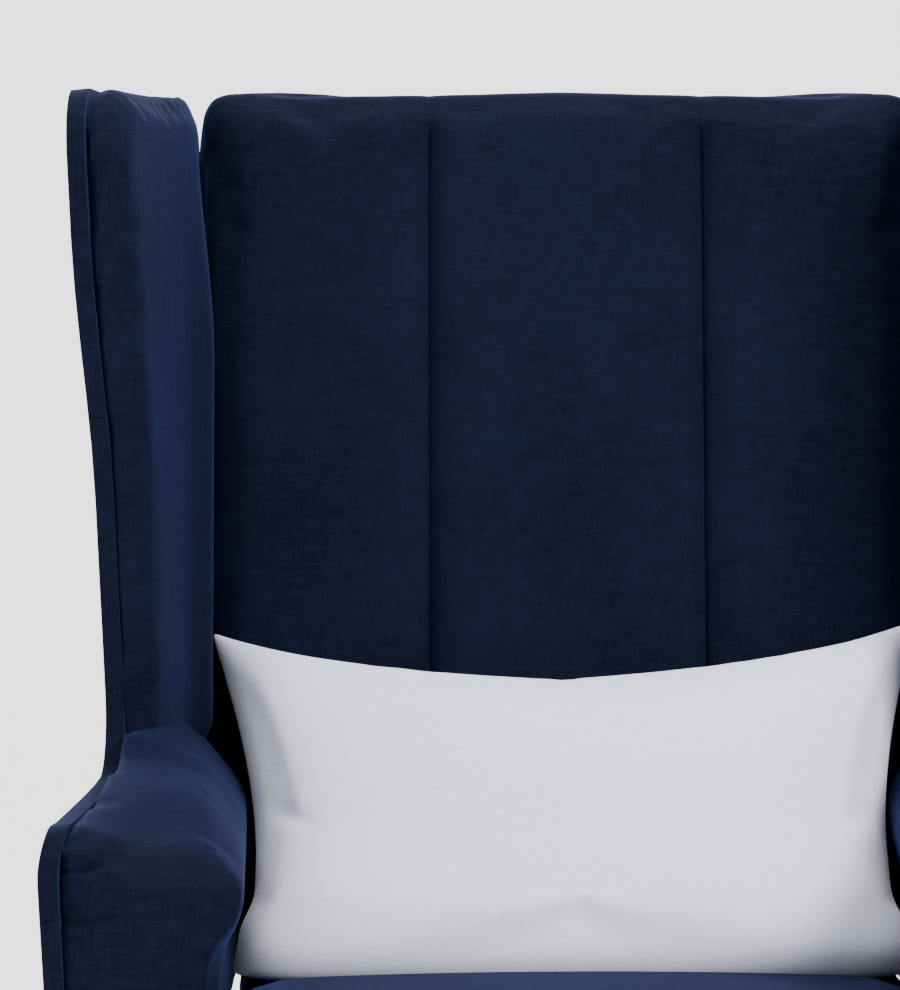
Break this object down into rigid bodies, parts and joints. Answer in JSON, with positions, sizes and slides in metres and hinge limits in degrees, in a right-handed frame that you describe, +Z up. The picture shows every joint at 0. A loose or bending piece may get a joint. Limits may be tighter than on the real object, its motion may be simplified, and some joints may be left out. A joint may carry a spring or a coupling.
{
  "type": "recliner armchair",
  "caption": "High-back wing armchair that reclines when pushed back, with channelled back, padded arms, rising footrest, tapered wooden legs and a loose lumbar pillow.",
  "frame": {"origin": "on the floor under the middle of the chair's bounding box", "axes": "the chair faces -Y, +X is to the viewer's right when looking at its front, +Z is up"},
  "size_m": [0.776, 0.807, 1.12],
  "materials": {
    "velvet": "deep navy velvet upholstery",
    "pillow": "off-white soft woven cover",
    "plywood": "raw plywood",
    "timber": "raw hardwood",
    "leg_wood": "dark stained satin wood",
    "steel": "black powder coat",
    "bright_steel": "zinc plated",
    "webbing": "woven elastic webbing",
    "felt": "grey felt pad",
    "nylon": "nylon"
  },
  "bodies": {
    "base": {"side_panel_left": "plywood", "outer_side_cover_left": "velvet", "arm_board_left": "timber", "arm_post_left": "timber", "arm_pad_left": "velvet", "wing_pad_left": "velvet", "side_rail_left": "timber", "front_leg_left": "leg_wood", "rear_leg_left": "leg_wood", "mechanism_plate_left": "steel", "side_panel_right": "plywood", "outer_side_cover_right": "velvet", "arm_board_right": "timber", "arm_post_right": "timber", "arm_pad_right": "velvet", "wing_pad_right": "velvet", "side_rail_right": "timber", "front_leg_right": "leg_wood", "rear_leg_right": "leg_wood", "mechanism_plate_right": "steel", "cross_rail_middle": "timber", "cross_rail_rear": "timber", "rear_lower_panel": "velvet", "leg_plates": "bright_steel", "leg_bolts": "bright_steel", "leg_glides": "nylon", "mechanism_bolts": "bright_steel", "base_pivot_pins": "bright_steel"},
    "rear_swing": {"rear_swing_links": "steel"},
    "front_swing": {"front_swing_links": "steel"},
    "seat": {"seat_side_rail_left": "timber", "seat_side_rail_right": "timber", "seat_front_rail": "timber", "seat_rear_rail": "timber", "seat_plates": "steel", "footrest_pivot_plates": "steel", "seat_pivot_pins": "bright_steel", "seat_springs": "steel", "spring_clips": "bright_steel", "seat_deck": "felt", "seat_cushion": "velvet"},
    "footrest_rear_arms": {"footrest_rear_links": "steel"},
    "footrest_front_arms": {"footrest_front_links": "steel"},
    "footrest_carrier": {"footrest_carriers": "steel", "footrest_pins": "bright_steel", "footrest_cross_bar": "steel"},
    "footrest": {"footrest_board": "plywood", "footrest_pad": "velvet", "footrest_brackets": "steel"},
    "backrest": {"back_cushion": "velvet", "outside_back_cover": "velvet", "back_upright_left": "timber", "back_upright_right": "timber", "back_top_rail": "timber", "back_middle_rail": "timber", "back_bottom_rail": "timber", "back_webbing": "webbing", "back_brackets": "steel"},
    "pillow": {"lumbar_pillow": "pillow"}
  },
  "joints": [
    {"name": "back_recline", "type": "hinge", "parent": "base", "child": "backrest", "pos_m": [0, 0.19359, 0.36027], "axis": [-1, 0, 0], "range_deg": [0, 28]},
    {"name": "rear_link_swing", "type": "hinge", "parent": "base", "child": "rear_swing", "pos_m": [0, 0.06, 0.235], "axis": [1, 0, 0], "range_deg": [0, 60.01]},
    {"name": "front_link_swing", "type": "hinge", "parent": "base", "child": "front_swing", "pos_m": [0, -0.12, 0.235], "axis": [1, 0, 0], "range_deg": [0, 60.01]},
    {"name": "seat_level", "type": "hinge", "parent": "rear_swing", "child": "seat", "pos_m": [0, 0.09974, 0.2986], "axis": [-1, 0, 0], "range_deg": [0, 60.01]},
    {"name": "footrest_rear_arm_swing", "type": "hinge", "parent": "seat", "child": "footrest_rear_arms", "pos_m": [0, -0.215, 0.285], "axis": [-1, 0, 0], "range_deg": [0, 145.01]},
    {"name": "footrest_front_arm_swing", "type": "hinge", "parent": "seat", "child": "footrest_front_arms", "pos_m": [0, -0.286, 0.322], "axis": [-1, 0, 0], "range_deg": [0, 145.01]},
    {"name": "footrest_carrier_level", "type": "hinge", "parent": "footrest_rear_arms", "child": "footrest_carrier", "pos_m": [0, -0.09479, 0.16479], "axis": [1, 0, 0], "range_deg": [0, 145.01]},
    {"name": "footrest_tilt", "type": "hinge", "parent": "footrest_carrier", "child": "footrest", "pos_m": [0, -0.344, 0.262], "axis": [-1, 0, 0], "range_deg": [0, 98.01]},
    {"name": "pillow_lift", "type": "slide", "parent": "backrest", "child": "pillow", "axis": [0, -0.3, 0.9539], "range_m": [0, 0.3]}
  ],
  "couplings": [
    {"joint": "rear_link_swing", "follows": "back_recline", "ratio": 2.1429},
    {"joint": "front_link_swing", "follows": "back_recline", "ratio": 2.1429},
    {"joint": "seat_level", "follows": "back_recline", "ratio": 2.1429},
    {"joint": "footrest_rear_arm_swing", "follows": "back_recline", "ratio": 5.1786},
    {"joint": "footrest_front_arm_swing", "follows": "back_recline", "ratio": 5.1786},
    {"joint": "footrest_carrier_level", "follows": "back_recline", "ratio": 5.1786},
    {"joint": "footrest_tilt", "follows": "back_recline", "ratio": 3.5}
  ]
}
